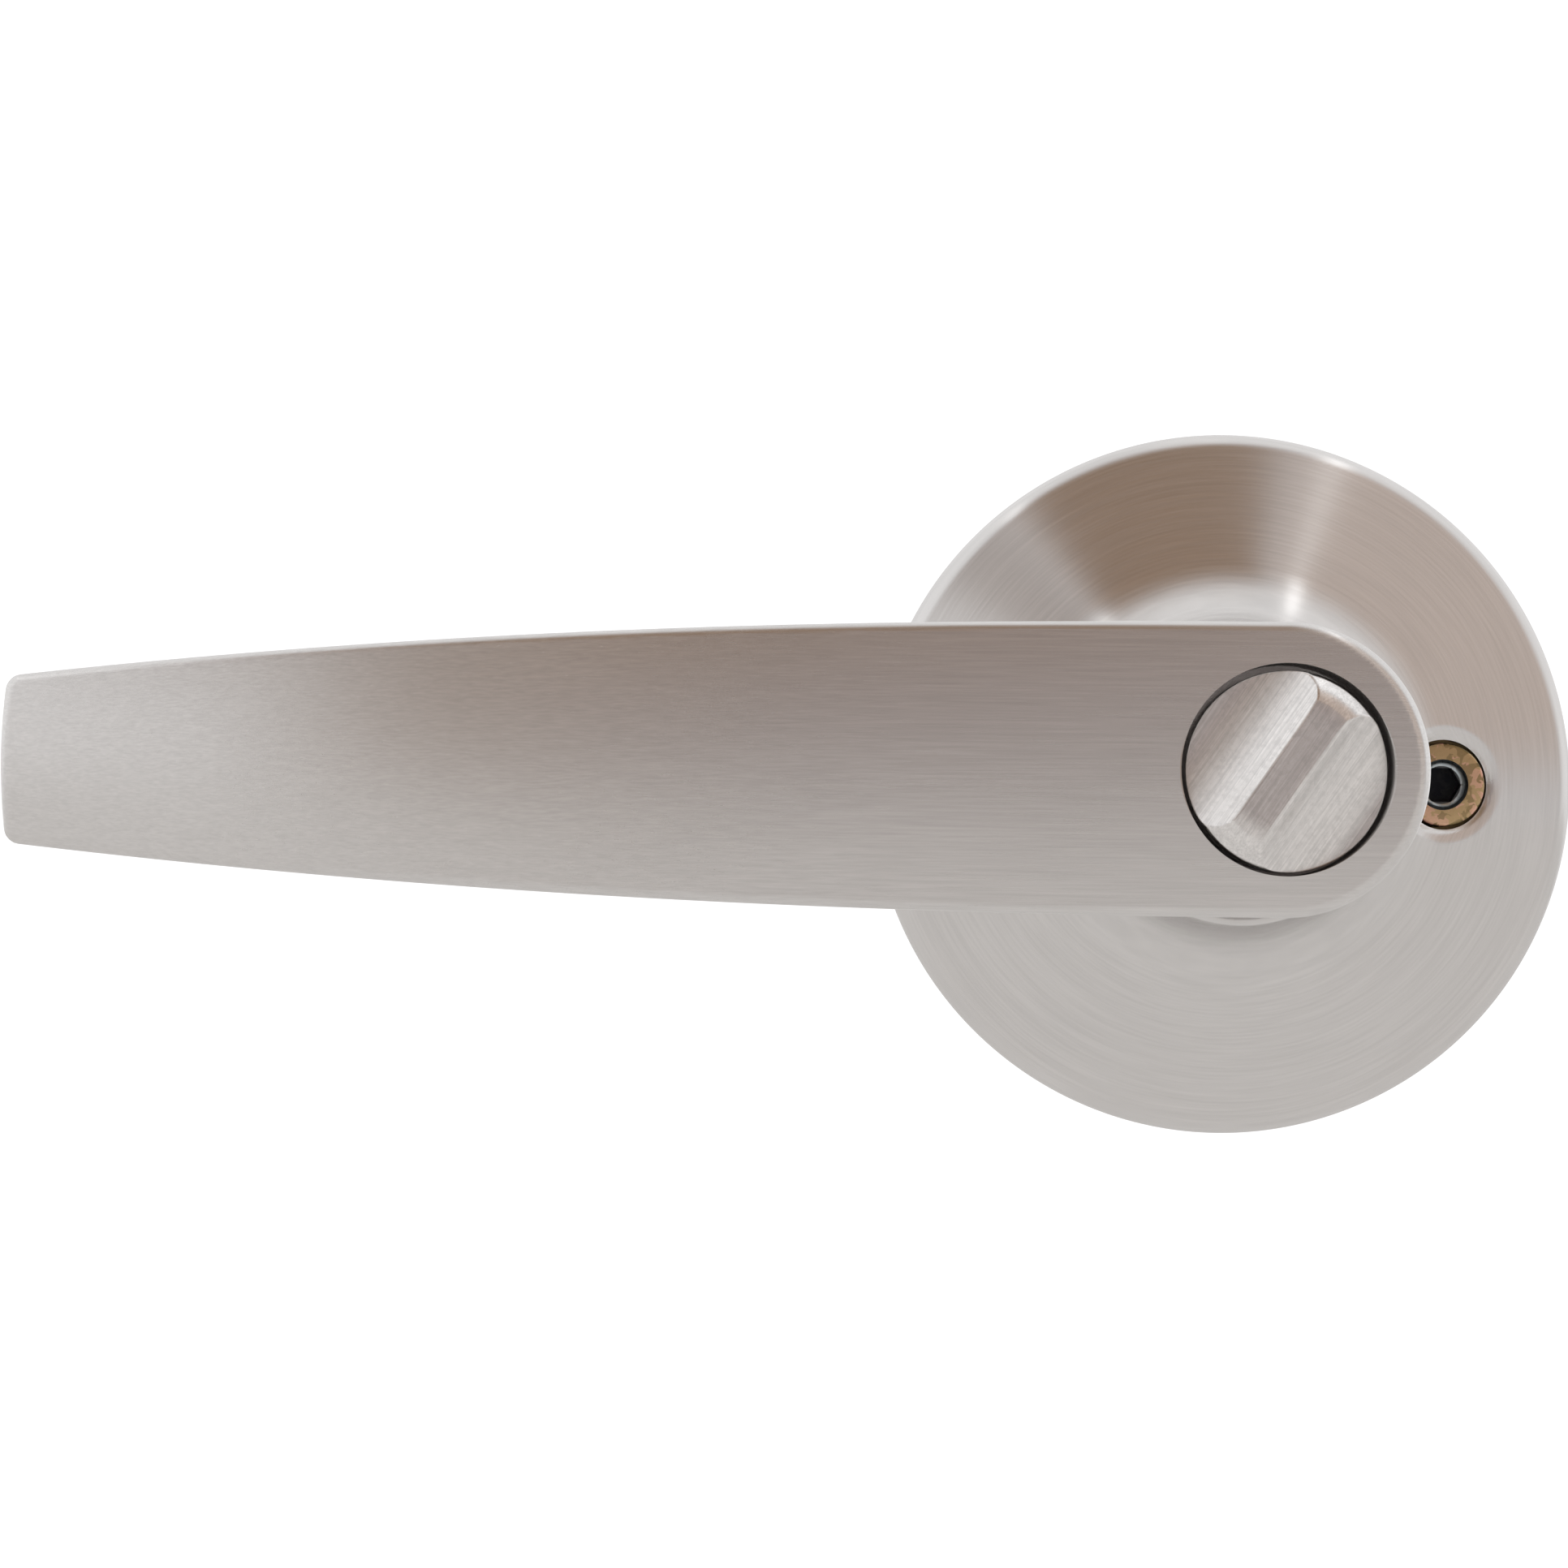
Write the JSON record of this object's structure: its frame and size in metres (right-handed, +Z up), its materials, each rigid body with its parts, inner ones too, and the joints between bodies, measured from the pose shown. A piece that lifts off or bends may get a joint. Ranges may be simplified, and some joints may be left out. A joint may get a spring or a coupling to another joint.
{
  "type": "door lever handle",
  "caption": "Inside half of a privacy door lever set: a tapered lever with a turn button in its head, on a round conical rose with spring cage, spindle and through bolts.",
  "frame": {"origin": "where the lever's turning axis meets the plane of the door's face", "axes": "+Z up, +Y into the door along the lever's turning axis, +X to the right seen from the room, away from the lever's tip"},
  "size_m": [0.1416, 0.1173, 0.0666],
  "materials": {
    "satin_metal": "satin brushed, slightly warm",
    "yellow_zinc": "yellow passivated zinc plate on steel",
    "bright_zinc": "clear passivated zinc plate on steel",
    "spring_steel": "oiled dark spring steel",
    "nylon": "natural moulded nylon"
  },
  "bodies": {
    "base": {"rose": "satin_metal", "collar_bush": "nylon", "mounting_plate": "yellow_zinc", "rose_clip_1": "spring_steel", "rose_clip_2": "spring_steel", "rose_clip_3": "spring_steel", "plate_hub": "bright_zinc", "mounting_bolt_left": "yellow_zinc", "mounting_bolt_right": "yellow_zinc", "spring_housing": "bright_zinc", "housing_screw_top": "bright_zinc", "housing_screw_bottom": "bright_zinc", "return_spring": "spring_steel", "rear_bush": "nylon"},
    "lever": {"lever": "satin_metal", "spindle_tube": "bright_zinc", "spring_driver": "bright_zinc", "thrust_washer": "bright_zinc", "spindle_circlip": "spring_steel", "spindle_end_plug": "bright_zinc", "drive_spindle": "bright_zinc", "catch_spring": "spring_steel", "button_bush": "nylon", "button_wave_washer": "spring_steel"},
    "catch": {"lever_catch": "bright_zinc"},
    "button": {"turn_button": "satin_metal", "button_stem": "bright_zinc", "locking_bar": "bright_zinc", "button_clip": "spring_steel"}
  },
  "joints": [
    {"name": "lever_turn", "type": "hinge", "parent": "base", "child": "lever", "pos_m": [0, 0, 0], "axis": [0, 1, 0], "range_deg": [-50, 50], "stiffness_Nm_per_rad": 1.6, "springref_deg": 3.15, "deforming": ["return_spring"]},
    {"name": "button_turn", "type": "hinge", "parent": "lever", "child": "button", "pos_m": [0, -0.0567, 0], "axis": [0, 1, 0], "range_deg": [-34.6, 55.4]},
    {"name": "catch_slide", "type": "slide", "parent": "lever", "child": "catch", "axis": [0, 0, 1], "range_m": [0, 0.0015], "stiffness_N_per_m": 400, "springref_m": -0.0015, "deforming": ["catch_spring"]}
  ]
}
